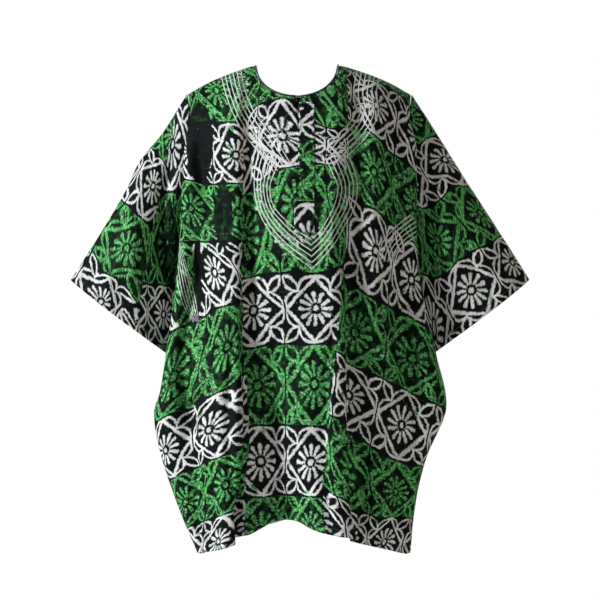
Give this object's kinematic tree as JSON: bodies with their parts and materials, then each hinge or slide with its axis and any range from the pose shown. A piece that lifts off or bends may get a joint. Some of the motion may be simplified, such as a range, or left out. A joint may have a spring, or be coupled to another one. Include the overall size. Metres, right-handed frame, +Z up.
{
  "type": "dashiki shirt",
  "caption": "Loose dashiki pullover shirt as worn, with wide sleeves, a rounded neck with a front slit, soft folds and an open hem, in block-printed cotton.",
  "frame": {"origin": "midway between the two points where the shoulder seams meet the neck edge, where the wearer's shoulders carry the shirt", "axes": "+Z up, -Y the way the wearer faces, +X towards the wearer's left"},
  "size_m": [0.849, 0.2851, 0.8947],
  "materials": {
    "printed_cotton": "plain-weave cotton, wax block print in green and white on near-black, matt",
    "ground_cotton": "plain-weave cotton in the print's near-black ground colour, matt"
  },
  "bodies": {
    "root": {"front_panel": "printed_cotton", "back_panel": "printed_cotton", "sleeve_left": "printed_cotton", "sleeve_right": "printed_cotton", "placket": "printed_cotton", "neck_binding": "ground_cotton"}
  },
  "joints": []
}
